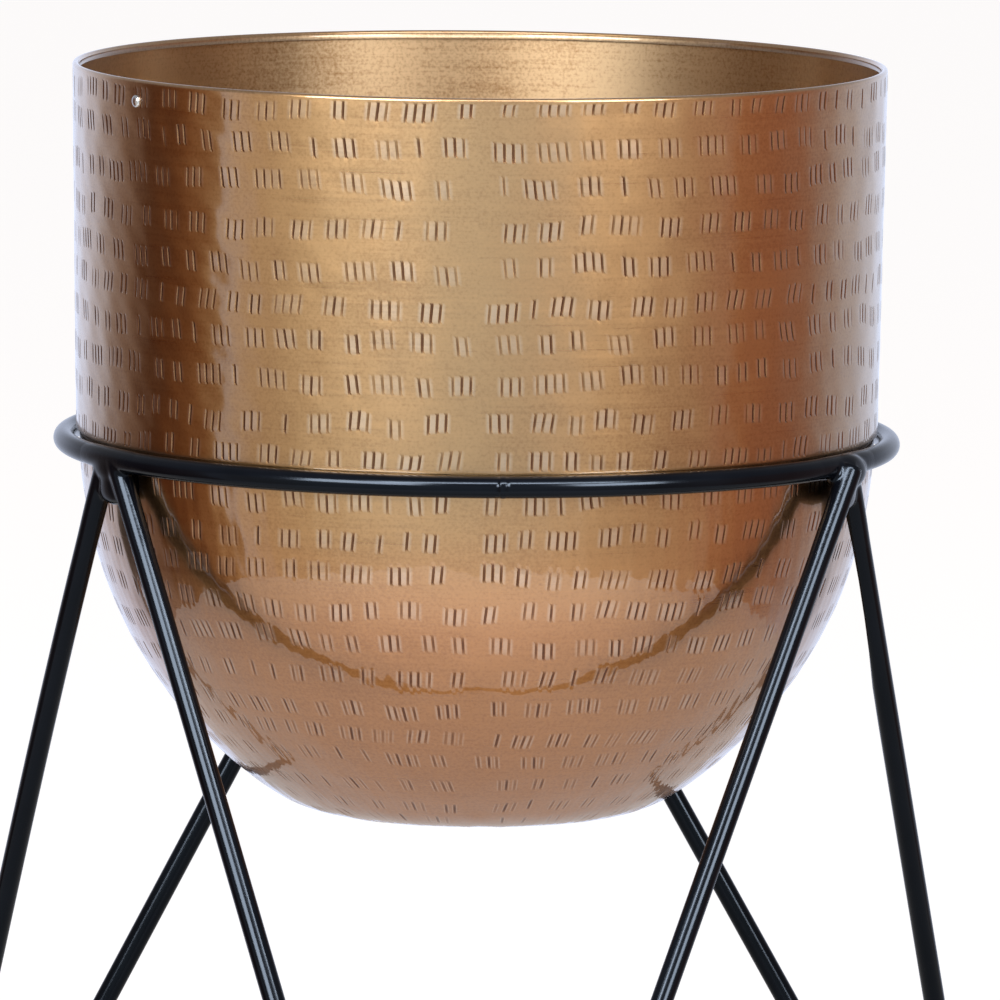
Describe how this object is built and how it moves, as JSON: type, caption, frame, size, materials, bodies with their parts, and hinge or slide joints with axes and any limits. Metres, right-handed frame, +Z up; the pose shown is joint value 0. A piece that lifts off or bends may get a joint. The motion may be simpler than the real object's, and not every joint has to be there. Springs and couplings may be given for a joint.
{
  "type": "planter pot on a stand",
  "caption": "Hammered brass planter pot with a folded rim and a round-bottomed bowl, hanging in the ring of a black round-bar stand on hairpin legs.",
  "frame": {"origin": "on the floor, at the middle of the whole object's box", "axes": "+Z up, the longest side; -Y is the front, with one foot pointing at the viewer; the pot's axis is upright, a little behind and to the right of the origin"},
  "size_m": [0.4168, 0.397, 0.5],
  "materials": {
    "brass": "antiqued brass, hammered outside with rows of short chisel dents, brushed round and lacquered",
    "black_iron": "satin black powder coat over round iron bar",
    "rivet_steel": "bright bare steel"
  },
  "bodies": {
    "stand": {"stand_ring": "black_iron", "ring_butt_weld": "black_iron", "leg_left_to_left": "black_iron", "leg_left_to_front": "black_iron", "leg_right_to_front": "black_iron", "leg_right_to_right": "black_iron", "leg_rear_to_right": "black_iron", "leg_rear_to_left": "black_iron", "foot_bend_left": "black_iron", "foot_bend_front": "black_iron", "foot_bend_right": "black_iron", "web_weld_left": "black_iron", "web_weld_right": "black_iron", "web_weld_rear": "black_iron"},
    "pot": {"pot_wall": "brass", "pot_bowl": "brass", "rim_rivet": "rivet_steel"}
  },
  "joints": [
    {"name": "pot_lift", "type": "slide", "parent": "stand", "child": "pot", "axis": [0, 0, 1], "range_m": [0, 0.16]}
  ]
}
